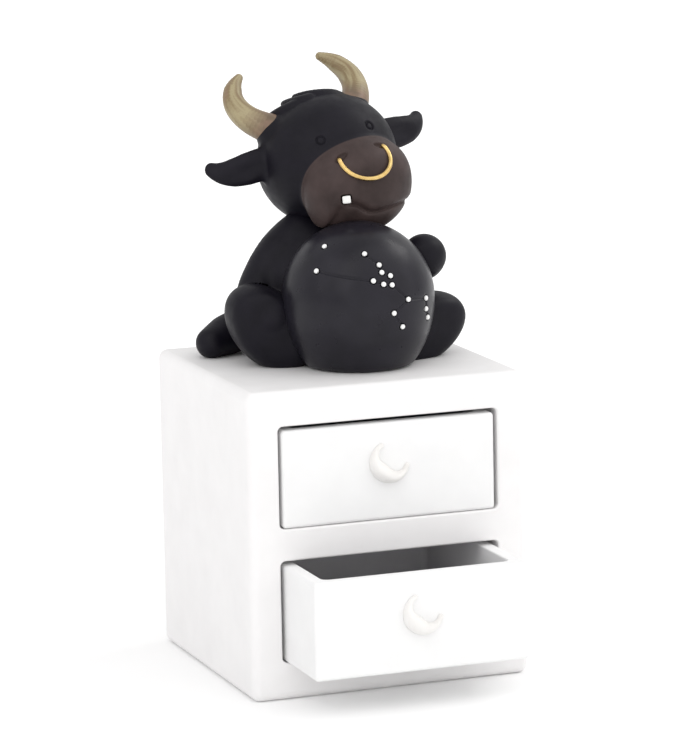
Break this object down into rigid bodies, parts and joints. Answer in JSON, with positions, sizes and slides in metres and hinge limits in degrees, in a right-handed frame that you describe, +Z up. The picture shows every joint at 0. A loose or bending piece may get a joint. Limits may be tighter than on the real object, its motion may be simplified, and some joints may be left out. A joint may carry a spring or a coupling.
{
  "type": "milk tooth keepsake box",
  "caption": "Small cabinet with sliding drawers for a child's milk teeth, crescent pulls, and a seated bull figure hugging a star globe on its lid.",
  "frame": {"origin": "middle of the cabinet's base, on the face that it stands on", "axes": "+Z up, the drawers open towards -Y, +X is the figure's left"},
  "size_m": [0.065, 0.0854, 0.135],
  "materials": {
    "cabinet_white": "matte painted cast resin",
    "drawer_white": "matte painted cast resin",
    "moon_cream": "satin painted cast resin",
    "globe_grey": "satin painted cast resin",
    "star_white": "satin painted dots",
    "body_charcoal": "matte painted cast resin",
    "muzzle_brown": "matte painted cast resin",
    "tooth_white": "satin painted cast resin",
    "ring_gold": "polished gold coloured wire",
    "horn_beige": "satin painted cast resin"
  },
  "bodies": {
    "case": {"cabinet": "cabinet_white", "star_globe": "globe_grey", "star_beads": "star_white", "torso": "body_charcoal", "left_leg": "body_charcoal", "right_leg": "body_charcoal", "left_arm": "body_charcoal", "right_arm": "body_charcoal", "tail": "body_charcoal", "head": "body_charcoal", "muzzle": "muzzle_brown", "lower_jaw": "muzzle_brown", "milk_tooth": "tooth_white", "nose_ring": "ring_gold", "left_ear": "body_charcoal", "right_ear": "body_charcoal", "left_horn": "horn_beige", "right_horn": "horn_beige", "hair_tuft": "body_charcoal"},
    "upper_tray": {"upper_drawer": "drawer_white", "upper_moon_pull": "moon_cream"},
    "lower_tray": {"lower_drawer": "drawer_white", "lower_moon_pull": "moon_cream"}
  },
  "joints": [
    {"name": "upper_drawer_slide", "type": "slide", "parent": "case", "child": "upper_tray", "axis": [0, -1, 0], "range_m": [0, 0.042]},
    {"name": "lower_drawer_slide", "type": "slide", "parent": "case", "child": "lower_tray", "axis": [0, -1, 0], "range_m": [-0.0188, 0.0232]}
  ]
}
